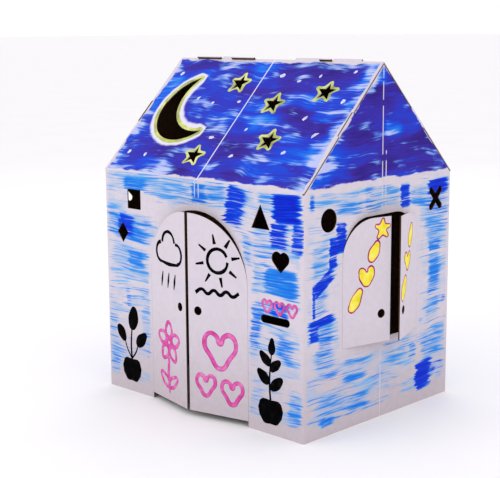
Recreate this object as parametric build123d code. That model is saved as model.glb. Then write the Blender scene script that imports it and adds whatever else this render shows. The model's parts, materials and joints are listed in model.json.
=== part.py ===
from build123d import *
import os
from math import cos, pi, radians, sin, tan

# The folded house, outside sizes in millimetres. X runs along the front, -Y is the front, Z is up.
HOUSE_WIDTH = 820.0
HOUSE_DEPTH = 662.0
EAVE_HEIGHT = 688.0
ROOF_PITCH = 45.0  # degrees

# Corrugated board: thickness, inside of a fold, pressed score lines and knife cuts
BOARD = 4.0
FOLD_INNER_RADIUS = 1.0
SCORE_DEPTH = 0.9
SCORE_PAIR_PITCH = 16.0
CUT_GAP = 0.6
CUT_OVERRUN = 6.0

# Doorway in the front wall, with its pair of doors; the angles are how far each door stands open
DOORWAY_WIDTH = 404.0
DOORWAY_HEIGHT = 600.0
DOOR_FLOOR_GAP = 18.0
LEFT_DOOR_ANGLE = 12.5
RIGHT_DOOR_ANGLE = 12.0

# Window in each side wall, with its pair of shutters; the left wall's shutters are shut
WINDOW_WIDTH = 342.0
WINDOW_SILL = 235.0
WINDOW_TOP = 594.0
WINDOW_CORNER_RADIUS = 110.0
RIGHT_FRONT_SHUTTER_ANGLE = 12.5
RIGHT_REAR_SHUTTER_ANGLE = 20.5
LEFT_SHUTTER_ANGLE = 0.0

# Finger hole in every door and shutter
FINGER_HOLE_RADIUS = 13.0
FINGER_HOLE_INSET = 33.0
FINGER_HOLE_HEIGHT = 318.0

# Shape cut-outs in the walls
SQUARE_SIDE = 60.0
DIAMOND_WIDTH = 50.0
DIAMOND_HEIGHT = 64.0
TRIANGLE_BASE = 69.0
TRIANGLE_HEIGHT = 68.0
HEART_WIDTH = 65.0
MAIL_SLOT_WIDTH = 108.0
MAIL_SLOT_HEIGHT = 23.0
CIRCLE_RADIUS = 32.5
CROSS_WIDTH = 64.0
CROSS_HEIGHT = 68.0
CROSS_BAR = 20.0

# Places of the cut-outs: share of the strip from the opening's edge to the corner, share of the eave height
SQUARE_SHARES = (0.35, 0.881)
DIAMOND_SHARES = (0.615, 0.727)
TRIANGLE_SHARES = (0.24, 0.886)
HEART_SHARES = (0.596, 0.710)
MAIL_SLOT_SHARES = (0.5, 0.476)
CIRCLE_SHARES = (0.369, 0.877)
CROSS_SHARES = (0.534, 0.89)

# Moon and stars cut in the front slope; places are shares of half the width and of the slope's length
MOON_RADIUS = 129.0
MOON_BITE_RADIUS = 131.0
MOON_BITE_SHIFT = 74.5
MOON_BITE_DIRECTION = 34.5  # degrees
MOON_SHARES = (-0.515, 0.562)
STAR_RADIUS = 34.0
STAR_WAIST_SHARE = 0.42
STAR_POINTS = 5
STAR_SHARES = ((-0.195, 0.789), (0.255, 0.632), (0.663, 0.747), (0.427, 0.346), (-0.18, 0.182))

# Ridge: fingers of each slope pass between those of the other and stand proud of it
RIDGE_GAP = 0.6
RIDGE_FINGER_PROUD = 8.0
RIDGE_FINGER_SHARES = ((0.195, 0.437), (0.549, 0.807), (-0.549, -0.437))
FRONT_COVER_SHARES = ((-1.0, -0.807), (-0.549, -0.437), (-0.195, 0.437), (0.549, 1.0))

# Gable: its sloping edges stop short of the roof, and one tab on each passes through a notch in the roof
GABLE_GAP = 1.5
TAB_SHARES = (0.42, 0.60)
TAB_PROUD = 1.0

# Sizes worked out from the ones above
PITCH = radians(ROOF_PITCH)
HALF_WIDTH = HOUSE_WIDTH / 2
HALF_DEPTH = HOUSE_DEPTH / 2
RIDGE_HEIGHT = EAVE_HEIGHT + HALF_DEPTH * tan(PITCH)
SLOPE_LENGTH = HALF_DEPTH / cos(PITCH)
RIDGE_SETBACK = (BOARD + RIDGE_GAP) * max(1 / tan(PITCH), 1 / sin(2 * PITCH))
FOLD_OUTER_RADIUS = FOLD_INNER_RADIUS + BOARD
EAVE_FOLD_START = EAVE_HEIGHT - FOLD_OUTER_RADIUS * tan(pi / 4 - PITCH / 2)
EAVE_STRIP_HEIGHT = 2 * (BOARD + GABLE_GAP) / cos(PITCH)

# Outer face of each panel: local X runs along the panel, local Y up it, local Z points out of the house
FRONT_WALL = Plane(origin=(0, -HALF_DEPTH, 0), x_dir=(1, 0, 0), z_dir=(0, -1, 0))
RIGHT_WALL = Plane(origin=(HALF_WIDTH, 0, 0), x_dir=(0, 1, 0), z_dir=(1, 0, 0))
REAR_WALL = Plane(origin=(0, HALF_DEPTH, 0), x_dir=(-1, 0, 0), z_dir=(0, 1, 0))
LEFT_WALL = Plane(origin=(-HALF_WIDTH, 0, 0), x_dir=(0, -1, 0), z_dir=(-1, 0, 0))
FRONT_SLOPE = Plane((0, -HALF_DEPTH, EAVE_HEIGHT), x_dir=(1, 0, 0), z_dir=(0, -sin(PITCH), cos(PITCH)))
REAR_SLOPE = Plane((0, HALF_DEPTH, EAVE_HEIGHT), x_dir=(-1, 0, 0), z_dir=(0, sin(PITCH), cos(PITCH)))


# Outlines

def doorway_outline(gap):
    """Door opening with a half-round head, standing on the floor, taken in by a gap."""
    radius = DOORWAY_WIDTH / 2 - gap
    spring = DOORWAY_HEIGHT - DOORWAY_WIDTH / 2
    jambs = Pos(0, spring / 2) * Rectangle(2 * radius, spring)
    return jambs + Pos(0, spring) * Circle(radius)


def window_outline(gap):
    """Window opening with two large round corners at the top, taken in by a gap."""
    middle = (WINDOW_SILL + WINDOW_TOP) / 2
    opening = Pos(0, middle) * Rectangle(WINDOW_WIDTH - 2 * gap, WINDOW_TOP - WINDOW_SILL - 2 * gap)
    upper_corners = opening.vertices().sort_by(Axis.Y)[-2:]
    return fillet(upper_corners, WINDOW_CORNER_RADIUS - gap)


def diamond_outline():
    half_width = DIAMOND_WIDTH / 2
    half_height = DIAMOND_HEIGHT / 2
    return Polygon((half_width, 0), (0, half_height), (-half_width, 0), (0, -half_height), align=None)


def triangle_outline():
    half_base = TRIANGLE_BASE / 2
    half_height = TRIANGLE_HEIGHT / 2
    return Polygon((-half_base, -half_height), (half_base, -half_height), (0, half_height), align=None)


def heart_outline():
    """A square stood on its corner with a half circle on each upper side."""
    side = HEART_WIDTH / (1 + cos(pi / 4))
    lobe = side / 2
    lobe_place = lobe * cos(pi / 4)
    heart = Rot(0, 0, 45) * Rectangle(side, side)
    for sign in (-1, 1):
        heart += Pos(sign * lobe_place, lobe_place) * Circle(lobe)
    return heart


def cross_outline():
    """Two bars with round ends that cross as the diagonals of the cut-out's box."""
    rise = CROSS_HEIGHT - CROSS_BAR
    run = CROSS_WIDTH - CROSS_BAR
    bar = SlotCenterToCenter((rise ** 2 + run ** 2) ** 0.5, CROSS_BAR)
    lean = Vector(1, 0).get_angle(Vector(run, rise))
    return Rot(0, 0, lean) * bar + Rot(0, 0, -lean) * bar


def moon_outline():
    """A disc with a second disc bitten out of it."""
    direction = radians(MOON_BITE_DIRECTION)
    bite_place = Pos(MOON_BITE_SHIFT * cos(direction), MOON_BITE_SHIFT * sin(direction))
    return Circle(MOON_RADIUS) - bite_place * Circle(MOON_BITE_RADIUS)


def star_outline():
    """A star with one point up the slope."""
    corners = []
    for step in range(2 * STAR_POINTS):
        reach = STAR_RADIUS * (STAR_WAIST_SHARE if step % 2 else 1)
        angle = pi / 2 + step * pi / STAR_POINTS
        corners.append((reach * cos(angle), reach * sin(angle)))
    return Polygon(*corners, align=None)


def house_section(inset, roof_inset, fold_radius):
    """End view of the house: walls taken in by one inset, roof slopes lowered by another."""
    half = HALF_DEPTH - inset
    ridge = RIDGE_HEIGHT - roof_inset / cos(PITCH)
    eave = ridge - half * tan(PITCH)
    section = Polygon((-half, 0), (-half, eave), (0, ridge), (half, eave), (half, 0), align=None)
    if fold_radius:
        eave_corners = section.vertices().group_by(Axis.Y)[1]
        section = fillet(eave_corners, fold_radius)
    return section


# Cutters

def through(panel, outline):
    """An outline on a panel's outer face, run through the board."""
    return extrude(panel * outline, amount=BOARD + CUT_OVERRUN, both=True)


def score(panel, across, start, end):
    """A V groove pressed into a panel's outer face, running up the panel."""
    foot = panel.from_local_coords((across, start, 0))
    section = Plane(origin=foot, x_dir=panel.x_dir, z_dir=panel.y_dir)
    return extrude(section * RegularPolygon(SCORE_DEPTH, 4), amount=end - start)


def beside(opening_width, wall_width, side, shares):
    """Place of a cut-out in the strip of wall between an opening and a corner."""
    strip = (wall_width - opening_width) / 2
    return Pos(side * (opening_width / 2 + strip * shares[0]), EAVE_HEIGHT * shares[1])


def on_slope(shares):
    return Pos(HALF_WIDTH * shares[0], SLOPE_LENGTH * shares[1])


def slope_block(slope, x_range, y_range, z_range):
    """A block set square to a roof slope."""
    size = [high - low for low, high in (x_range, y_range, z_range)]
    middle = [(high + low) / 2 for low, high in (x_range, y_range, z_range)]
    return slope * Pos(*middle) * Box(*size)


# Panels of the shell

def roof_band():
    """Both roof slopes with the folds at their eaves, as one bent strip the full width of the house."""
    section = house_section(0, 0, FOLD_OUTER_RADIUS) - house_section(BOARD, BOARD, FOLD_INNER_RADIUS)
    above_fold = Pos(0, EAVE_FOLD_START + RIDGE_HEIGHT / 2)
    section &= above_fold * Rectangle(HOUSE_DEPTH + CUT_OVERRUN, RIDGE_HEIGHT)
    return extrude(Plane.YZ * section, amount=HALF_WIDTH, both=True)


def wall_ring():
    """The four walls folded round the plan, with the side walls running up into gables."""
    plan = RectangleRounded(HOUSE_WIDTH, HOUSE_DEPTH, FOLD_OUTER_RADIUS)
    plan -= RectangleRounded(HOUSE_WIDTH - 2 * BOARD, HOUSE_DEPTH - 2 * BOARD, FOLD_INNER_RADIUS)
    under_roof = extrude(Plane.YZ * house_section(0, BOARD + GABLE_GAP, 0), amount=HALF_WIDTH, both=True)
    ring = extrude(plan, amount=RIDGE_HEIGHT) & under_roof
    top_strip = Box(HOUSE_WIDTH - 2 * FOLD_OUTER_RADIUS, BOARD, EAVE_STRIP_HEIGHT)
    for sign in (-1, 1):
        ring += Pos(0, sign * (HALF_DEPTH - BOARD / 2), EAVE_FOLD_START - EAVE_STRIP_HEIGHT / 2) * top_strip
    return ring


def front_wall_cuts():
    cuts = [doorway_outline(0)]
    for side, outline, shares in (
        (-1, Rectangle(SQUARE_SIDE, SQUARE_SIDE), SQUARE_SHARES),
        (-1, diamond_outline(), DIAMOND_SHARES),
        (1, triangle_outline(), TRIANGLE_SHARES),
        (1, heart_outline(), HEART_SHARES),
        (1, SlotOverall(MAIL_SLOT_WIDTH, MAIL_SLOT_HEIGHT), MAIL_SLOT_SHARES),
    ):
        cuts.append(beside(DOORWAY_WIDTH, HOUSE_WIDTH, side, shares) * outline)
    return [through(FRONT_WALL, cut) for cut in cuts]


def side_wall_cuts(wall):
    """Window, circle and cross; the left wall is the right wall turned half round."""
    circle = beside(WINDOW_WIDTH, HOUSE_DEPTH, -1, CIRCLE_SHARES) * Circle(CIRCLE_RADIUS)
    cross = beside(WINDOW_WIDTH, HOUSE_DEPTH, 1, CROSS_SHARES) * cross_outline()
    return [through(wall, cut) for cut in (window_outline(0), circle, cross)]


def front_slope_cuts():
    cuts = [on_slope(MOON_SHARES) * moon_outline()]
    cuts += [on_slope(shares) * star_outline() for shares in STAR_SHARES]
    return [through(FRONT_SLOPE, cut) for cut in cuts]


def packing_scores():
    """Score lines down the middle of every panel, where the house folds flat; some are pressed in pairs."""
    scores = []
    for panel, start in ((FRONT_WALL, DOORWAY_HEIGHT), (REAR_WALL, 0)):
        for sign in (-1, 1):
            scores.append(score(panel, sign * SCORE_PAIR_PITCH / 2, start, EAVE_HEIGHT - FOLD_OUTER_RADIUS))
    for wall in (RIGHT_WALL, LEFT_WALL):
        scores.append(score(wall, 0, 0, WINDOW_SILL))
        scores.append(score(wall, 0, WINDOW_TOP, RIDGE_HEIGHT))
        scores.append(score(wall, SCORE_PAIR_PITCH, WINDOW_TOP, EAVE_HEIGHT))
    for slope in (FRONT_SLOPE, REAR_SLOPE):
        scores.append(score(slope, 0, FOLD_OUTER_RADIUS, SLOPE_LENGTH))
    return scores


def ridge_strip(slope, shares, top):
    """Board between the set-back line and a height up the slope, over one share of the ridge."""
    left, right = (HALF_WIDTH * share for share in shares)
    left += CUT_GAP / 2 if left > -HALF_WIDTH else 0
    right -= CUT_GAP / 2 if right < HALF_WIDTH else 0
    return slope_block(slope, (left, right), (SLOPE_LENGTH - RIDGE_SETBACK, top), (-BOARD, 0))


def cut_ridge_back(shell):
    """Take both slopes back from the ridge, to leave room for the fingers."""
    for slope in (FRONT_SLOPE, REAR_SLOPE):
        past_ridge = (SLOPE_LENGTH - RIDGE_SETBACK, SLOPE_LENGTH + CUT_OVERRUN)
        shell -= slope_block(slope, (-HOUSE_WIDTH, HOUSE_WIDTH), past_ridge, (-BOARD, CUT_OVERRUN))
    return shell


def add_ridge_comb(shell):
    """The front slope covers the ridge between the fingers; the fingers of both slopes stand proud."""
    for shares in FRONT_COVER_SHARES:
        shell += ridge_strip(FRONT_SLOPE, shares, SLOPE_LENGTH)
    for slope in (FRONT_SLOPE, REAR_SLOPE):
        for shares in RIDGE_FINGER_SHARES:
            shell += ridge_strip(slope, shares, SLOPE_LENGTH + RIDGE_FINGER_PROUD)
    return shell


def add_gable_tabs(shell):
    """One tab on each sloping gable edge, through a notch in the edge of the roof."""
    start, end = (SLOPE_LENGTH * share for share in TAB_SHARES)
    for slope in (FRONT_SLOPE, REAR_SLOPE):
        for sign in (-1, 1):
            inner = sign * (HALF_WIDTH - BOARD)
            notch_x = sorted((inner - sign * CUT_GAP, sign * (HALF_WIDTH + CUT_OVERRUN)))
            notch_y = (start - CUT_GAP, end + CUT_GAP)
            shell -= slope_block(slope, notch_x, notch_y, (-BOARD - GABLE_GAP, CUT_OVERRUN))
            tab_x = sorted((inner, sign * HALF_WIDTH))
            shell += slope_block(slope, tab_x, (start, end), (-2 * BOARD - GABLE_GAP, TAB_PROUD))
    return shell


def house_shell():
    """The folded and glued sheet: four walls, two gables and two roof slopes."""
    shell = wall_ring() + roof_band()
    cuts = front_wall_cuts() + front_slope_cuts() + packing_scores()
    for wall in (RIGHT_WALL, LEFT_WALL):
        cuts += side_wall_cuts(wall)
    shell -= cuts
    shell = cut_ridge_back(shell)
    shell = add_ridge_comb(shell)
    return add_gable_tabs(shell)


# Doors and shutters

def flap(wall, opening, opening_width, floor, side, ajar):
    """One leaf of an opening, hinged on the outer face at the opening's edge and swung out by its angle."""
    reach = opening_width / 2 - CUT_GAP
    leaf_middle = side * (CUT_GAP + reach / 2)
    leaf = opening & Pos(leaf_middle, floor + EAVE_HEIGHT / 2) * Rectangle(reach, EAVE_HEIGHT)
    leaf -= Pos(side * FINGER_HOLE_INSET, FINGER_HOLE_HEIGHT) * Circle(FINGER_HOLE_RADIUS)
    board = extrude(wall * leaf, amount=-BOARD)
    hinge = Axis(wall.from_local_coords((side * opening_width / 2, 0, 0)), (0, 0, 1))
    return board.rotate(hinge, side * ajar)


def door(side, ajar):
    return flap(FRONT_WALL, doorway_outline(CUT_GAP), DOORWAY_WIDTH, DOOR_FLOOR_GAP, side, ajar)


def shutter(wall, side, ajar):
    return flap(wall, window_outline(CUT_GAP), WINDOW_WIDTH, WINDOW_SILL, side, ajar)


NODES = {
    "house_shell": house_shell(),
    "left_door": door(-1, LEFT_DOOR_ANGLE),
    "right_door": door(1, RIGHT_DOOR_ANGLE),
    "right_front_shutter": shutter(RIGHT_WALL, -1, RIGHT_FRONT_SHUTTER_ANGLE),
    "right_rear_shutter": shutter(RIGHT_WALL, 1, RIGHT_REAR_SHUTTER_ANGLE),
    "left_rear_shutter": shutter(LEFT_WALL, -1, LEFT_SHUTTER_ANGLE),
    "left_front_shutter": shutter(LEFT_WALL, 1, LEFT_SHUTTER_ANGLE),
}

os.makedirs("parts", exist_ok=True)
for name, shape in NODES.items():
    export_step(shape, os.path.join("parts", name + ".step"))
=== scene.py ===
import json
from math import acos, cos, pi, radians, sin

import bpy
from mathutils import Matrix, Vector, noise


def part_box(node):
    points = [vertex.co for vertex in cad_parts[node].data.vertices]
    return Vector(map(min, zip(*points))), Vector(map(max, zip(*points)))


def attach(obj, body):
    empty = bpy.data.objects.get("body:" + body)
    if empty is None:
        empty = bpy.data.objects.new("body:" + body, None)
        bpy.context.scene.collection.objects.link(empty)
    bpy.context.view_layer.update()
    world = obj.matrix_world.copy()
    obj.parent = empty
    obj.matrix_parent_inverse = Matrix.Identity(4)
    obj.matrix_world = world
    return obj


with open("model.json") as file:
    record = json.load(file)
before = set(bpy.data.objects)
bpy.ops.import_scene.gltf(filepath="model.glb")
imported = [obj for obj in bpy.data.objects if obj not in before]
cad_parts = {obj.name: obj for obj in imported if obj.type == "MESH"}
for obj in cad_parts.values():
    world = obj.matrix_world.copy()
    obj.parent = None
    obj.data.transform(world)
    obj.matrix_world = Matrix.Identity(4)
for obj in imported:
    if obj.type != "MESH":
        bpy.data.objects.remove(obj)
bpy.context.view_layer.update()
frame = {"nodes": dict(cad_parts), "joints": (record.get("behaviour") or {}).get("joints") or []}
bpy.ops.object.select_all(action="DESELECT")


# Corrugated board. A fluted core of brown paper is glued between a brown liner inside and a white
# one outside. The white face is faintly ribbed by the flutes and mottled by recycled fibre, and
# die-cut edges show the core.
FLUTE_PITCH = 0.0078
CORE_SWING = 0.0013
LINER = 0.0004
ROOF_END_WHITE = 0.0024
# Height up to which painted shade greys the white liner, counted from the floor
FOOT_SHADE_HEIGHT = 0.36
CARD_SHINE = 0.06
BOARD = 0.004
SKIN = 0.0003
HALF_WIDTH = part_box("house_shell")[1].x
HALF_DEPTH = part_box("house_shell")[1].y
EAVE = 0.688
RIDGE = EAVE + HALF_DEPTH


def colour(red, green, blue):
    """A colour as seen on a screen, from 0 to 255, made linear for a shader."""
    shares = [value / 255 for value in (red, green, blue)]
    return [s / 12.92 if s <= 0.04045 else ((s + 0.055) / 1.055) ** 2.4 for s in shares] + [1.0]


LINER_WHITE = colour(211, 203, 214)
LINER_SHADE = colour(193, 182, 189)
# Painted shade near the floor, on the white liner
LINER_FOOT_SHADE = colour(188, 177, 183)
# The board's own brown, darkened further with painted shade, for the cut edges
SHADED_KRAFT_LIGHT = colour(124, 92, 60)
SHADED_KRAFT_DARK = colour(84, 58, 36)
# Painted shade: the brown liner inside the house, far darker than the same liner on the flaps'
# backs
SHADED_INSIDE_LIGHT = colour(86, 61, 40)
SHADED_INSIDE_DARK = colour(60, 42, 28)
# Painted shade in the voids between the flutes
FLUTE_GAP_SHADE = colour(52, 34, 20)


def add_node(material, kind, *values, output=0, **settings):
    """Adds a shader node. Sockets among the values are linked to its inputs, the rest are set."""
    tree = material.node_tree
    node = tree.nodes.new(kind)
    for setting, value in settings.items():
        setattr(node, setting, value)
    for socket, value in zip(node.inputs, values):
        if isinstance(value, bpy.types.NodeSocket):
            tree.links.new(value, socket)
        elif value is not None:
            socket.default_value = value
    return node.outputs[output]


def maths(material, operation, *values):
    return add_node(material, "ShaderNodeMath", *values, operation=operation)


def shifted(material, value, field, reach):
    """A value moved to and fro by a field that lies about one half."""
    return maths(material, "MULTIPLY_ADD", maths(material, "SUBTRACT", field, 0.5), reach, value)


def ease(material, value, start, end, low=0.0, high=1.0):
    """Runs smoothly from one number to another as a value goes from start to end."""
    return add_node(material, "ShaderNodeMapRange", value, start, end, low, high,
                    interpolation_type="SMOOTHSTEP")


def blend_colours(material, share, first, second):
    return add_node(material, "ShaderNodeMix", share, None, None, None, None, None, first, second,
                    output=2, data_type="RGBA")


def split(material, place):
    axes = add_node(material, "ShaderNodeSeparateXYZ", place).node.outputs
    return axes["X"], axes["Y"], axes["Z"]


def scaled(material, place, scale):
    """A place multiplied by a scale of its own on each axis."""
    return add_node(material, "ShaderNodeMapping", place, (0, 0, 0), (0, 0, 0), scale)


def grain(material, place, scale, detail=3.0, rough=0.55):
    """Noise with a scale of its own on each axis."""
    place = scaled(material, place, scale)
    return add_node(material, "ShaderNodeTexNoise", place, None, 1.0, detail, rough)


def new_material(name):
    material = bpy.data.materials.new(name)
    material.use_nodes = True
    shader = material.node_tree.nodes["Principled BSDF"]
    shader.inputs["Specular IOR Level"].default_value = CARD_SHINE
    place = add_node(material, "ShaderNodeTexCoord", output=3)
    return material, shader, place


def dress(material, shader, shade, roughness, height, depth):
    """Joins a colour, a roughness and a relief of a depth in metres to a material's shader."""
    links = material.node_tree.links
    links.new(shade, shader.inputs["Base Color"])
    links.new(roughness, shader.inputs["Roughness"])
    bump = add_node(material, "ShaderNodeBump")
    bump.node.inputs["Strength"].default_value = 1.0
    bump.node.inputs["Distance"].default_value = depth
    links.new(height, bump.node.inputs["Height"])
    links.new(bump, shader.inputs["Normal"])


def flutes(material, along):
    """A wave with one crest for each flute of the core."""
    return maths(material, "SINE", maths(material, "MULTIPLY", along, 2 * pi / FLUTE_PITCH))


def white_face(material, place, along):
    """The white liner's colour and relief: painted shade greys its foot, and it is ribbed along a
    distance.
    """
    mottle = grain(material, place, (60, 60, 60), detail=6.0)
    # Painted shade: the liner turns greyer towards the floor, up to the foot shade height
    unshaded_share = ease(material, split(material, place)[2], 0.0, FOOT_SHADE_HEIGHT, 0.15, 0.90)
    shade = blend_colours(material, shifted(material, unshaded_share, mottle, 0.6), LINER_FOOT_SHADE, LINER_WHITE)
    dents = maths(material, "MULTIPLY", grain(material, place, (9, 9, 5), detail=2.0), 3.0)
    return shade, maths(material, "MULTIPLY_ADD", flutes(material, along), 0.035, dents)


def kraft_face(name, light, dark):
    """The brown liner on the back of the board, mottled by its fibres."""
    material, shader, place = new_material(name)
    x, y, _ = split(material, place)
    fibre = grain(material, place, (160, 160, 60), detail=6.0)
    patches = grain(material, place, (5, 5, 5))
    tone = maths(material, "MULTIPLY_ADD", fibre, 0.6, maths(material, "MULTIPLY", patches, 0.4))
    shade = blend_colours(material, ease(material, tone, 0.36, 0.64), dark, light)
    ribs = flutes(material, maths(material, "ADD", x, y))
    relief = maths(material, "MULTIPLY_ADD", ribs, 0.1, fibre)
    dress(material, shader, shade, ease(material, fibre, 0.2, 0.8, 0.75, 0.95), relief, 0.0003)
    return material


def cut_edge(name, depth_of, whitened=LINER):
    """A die-cut edge: white to a depth, then wavy core over painted-shade gaps and the brown liner,
    darkened with painted shade.
    """
    material, shader, place = new_material(name)
    x, y, z = split(material, place)
    depth = depth_of(material, x, y, z)
    wave = flutes(material, maths(material, "ADD", x, y))
    core = maths(material, "MULTIPLY_ADD", wave, CORE_SWING, BOARD / 2)
    off_core = maths(material, "ABSOLUTE", maths(material, "SUBTRACT", depth, core))
    gap = ease(material, off_core, 0.0003, 0.0008)
    fibre = grain(material, place, (300, 300, 300), detail=4.0)
    brown = blend_colours(material, ease(material, fibre, 0.35, 0.65), SHADED_KRAFT_DARK, SHADED_KRAFT_LIGHT)
    off_middle = maths(material, "ABSOLUTE", maths(material, "SUBTRACT", depth, BOARD / 2))
    within = ease(material, off_middle, 0.0016, 0.00145)
    # Painted shade: the gaps beside the wavy core are coloured dark
    shade = blend_colours(material, maths(material, "MULTIPLY", gap, within), brown, FLUTE_GAP_SHADE)
    lined = ease(material, depth, whitened, whitened - 0.0001)
    shade = blend_colours(material, lined, shade, LINER_SHADE)
    relief = maths(material, "MULTIPLY_ADD", gap, -1.0, fibre)
    dress(material, shader, shade, ease(material, fibre, 0.2, 0.8, 0.8, 0.95), relief, 0.0004)
    return material


def depth_in_shell(material, x, y, z):
    """How far a point of the shell lies behind the outer face of its own board, roof or wall."""
    across, back = maths(material, "ABSOLUTE", x), maths(material, "ABSOLUTE", y)
    side = maths(material, "SUBTRACT", HALF_WIDTH, across)
    front = maths(material, "SUBTRACT", HALF_DEPTH, back)
    wall = maths(material, "MINIMUM", side, front)
    under = maths(material, "SUBTRACT", RIDGE, maths(material, "ADD", back, z))
    under = maths(material, "MULTIPLY", under, cos(pi / 4))
    in_roof = maths(material, "COMPARE", under, BOARD / 2, BOARD / 2 + SKIN)
    return maths(material, "MULTIPLY_ADD", in_roof, maths(material, "SUBTRACT", under, wall), wall)


# The liner inside is a darker copy with painted shade, for the dim inside of the house
shaded_inside_kraft = kraft_face("shaded_kraft_liner", SHADED_INSIDE_LIGHT, SHADED_INSIDE_DARK)
shell_edge = cut_edge("shell_cut_edge", depth_in_shell)
roof_end = cut_edge("roof_end_edge", depth_in_shell, ROOF_END_WHITE)


# Walls, painted by hand. Blue poster paint is dragged over the white liner with a half-dry brush,
# mostly sideways. Each patch is streaked, ragged at its ends and stops short of the folds and
# openings.
HINGES = {fold["child"]: Vector(fold["pos_m"]) for fold in frame["joints"]}
DOORWAY_HALF = abs(HINGES["left_door"].x)
DOORWAY_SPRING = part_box("left_door")[1].z - DOORWAY_HALF
WINDOW_HALF = abs(HINGES["right_front_shutter"].y)
WINDOW_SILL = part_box("right_front_shutter")[0].z
WINDOW_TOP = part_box("right_front_shutter")[1].z
SCORE_EDGE, SCORE_MIDDLE = 0.0026, 0.0012
BARE_FOOT = 0.026
STROKE_LENGTH, STROKE_WIDTH = 0.13, 0.045
PAINT_RELIEF = 0.00035
BARE_ROUGHNESS, PAINT_ROUGHNESS = 0.62, 0.46
PALE_WASH = colour(158, 182, 216)
PAINT_STEPS = (
    (0.0, colour(146, 186, 226)),
    (0.25, colour(86, 160, 226)),
    (0.5, colour(30, 124, 222)),
    (0.75, colour(0, 64, 214)),
    (1.0, colour(0, 26, 190)),
)
# Each patch: place along and up the wall, half length and half height in millimetres,
# tilt in degrees, depth of the blue and how well it covers
FRONT_PATCHES = (
    (-170, 678, 230, 14, 0, 0.18, 0.56), (-120, 650, 100, 32, -2, 0.28, 0.62),
    (190, 660, 40, 26, 0, 0.28, 0.52), (255, 590, 30, 30, 0, 0.15, 0.42),
    (-355, 595, 50, 28, 0, 0.12, 0.42), (-300, 415, 90, 42, 0, 0.28, 0.56),
    (-315, 320, 75, 24, 0, 0.15, 0.42), (-385, 170, 20, 130, 0, 0.28, 0.48),
    (-230, 230, 22, 95, 0, 0.25, 0.48), (300, 200, 100, 60, 0, 0.08, 0.36),
    (245, 440, 22, 42, 0, 0.28, 0.52), (260, 530, 40, 38, -12, 0.35, 0.50),
    (-360, 650, 42, 20, 0, 0.20, 0.52), (-270, 655, 52, 18, 0, 0.50, 0.86),
    (-295, 520, 105, 46, -2, 0.45, 0.70), (-315, 525, 34, 32, -6, 0.80, 0.92),
    (-270, 425, 34, 22, 0, 0.46, 0.80), (-310, 295, 10, 30, 8, 0.45, 0.60),
    (-380, 85, 22, 30, 0, 0.42, 0.64), (10, 650, 30, 26, 0, 0.55, 0.84),
    (80, 660, 42, 24, 0, 0.40, 0.70), (155, 625, 36, 56, -12, 0.80, 0.86),
    (275, 660, 30, 22, 0, 0.35, 0.60), (350, 640, 52, 38, 0, 0.95, 1.20),
    (320, 565, 30, 36, -4, 0.80, 0.82), (390, 560, 22, 38, -8, 0.75, 0.78),
    (200, 515, 16, 36, 0, 0.45, 0.56), (325, 435, 62, 38, -5, 0.52, 0.94),
    (230, 275, 20, 56, -8, 0.52, 0.64), (320, 360, 34, 18, 0, 0.65, 0.85),
    (315, 300, 36, 13, 0, 0.30, 0.55), (345, 250, 32, 34, -20, 0.50, 0.72),
    (380, 90, 26, 44, -10, 0.36, 0.56), (235, 85, 26, 52, -10, 0.30, 0.52),
)
SIDE_PATCHES = (
    (-230, 560, 80, 110, 0, 0.10, 0.30), (240, 560, 70, 140, 0, 0.10, 0.36),
    (-180, 665, 105, 18, 2, 0.20, 0.52), (25, 640, 60, 32, 0, 0.22, 0.52),
    (-260, 500, 35, 40, 8, 0.30, 0.56), (260, 520, 45, 42, 0, 0.32, 0.62),
    (-125, 190, 92, 12, 2, 0.30, 0.50), (25, 120, 55, 34, 0, 0.30, 0.48),
    (90, 172, 62, 28, 6, 0.25, 0.52), (-210, 88, 78, 44, 5, 0.35, 0.56),
    (245, 165, 50, 45, 6, 0.38, 0.64), (250, 275, 36, 32, 5, 0.30, 0.56),
    (-295, 135, 25, 38, 0, 0.35, 0.45), (-240, 210, 45, 48, 0, 0.44, 0.60),
    (-150, 630, 45, 19, 0, 0.42, 0.70), (-55, 648, 20, 30, 0, 0.42, 0.58),
    (170, 625, 42, 30, 0, 0.40, 0.66), (265, 600, 58, 32, 0, 0.55, 0.60),
    (255, 470, 30, 18, 0, 0.48, 0.76), (255, 382, 28, 56, 0, 0.46, 0.74),
    (-260, 390, 27, 44, 0, 0.45, 0.58), (-240, 282, 32, 30, 4, 0.50, 0.66),
    (-115, 155, 52, 19, 0, 0.42, 0.70), (155, 165, 17, 24, 0, 0.46, 0.70),
    (-95, 68, 45, 26, 4, 0.45, 0.70), (-235, 42, 32, 18, 6, 0.48, 0.74),
    (280, 90, 32, 17, 4, 0.75, 0.70), (292, 62, 20, 30, 0, 0.60, 0.45),
    (-298, 658, 9, 22, 0, 0.60, 0.72), (108, 635, 22, 38, 0, 0.78, 0.88),
    (270, 652, 50, 20, 2, 0.88, 0.98), (-176, 550, 22, 42, 0, 0.85, 0.88),
    (-210, 512, 17, 40, 0, 0.82, 0.86), (-248, 440, 48, 18, 30, 0.85, 0.90),
    (-290, 390, 6, 48, 0, 0.75, 0.82), (-260, 328, 54, 13, 3, 0.82, 0.90),
    (-288, 298, 18, 24, 0, 0.75, 0.82), (210, 80, 40, 42, 6, 0.88, 1.00),
)
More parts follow.
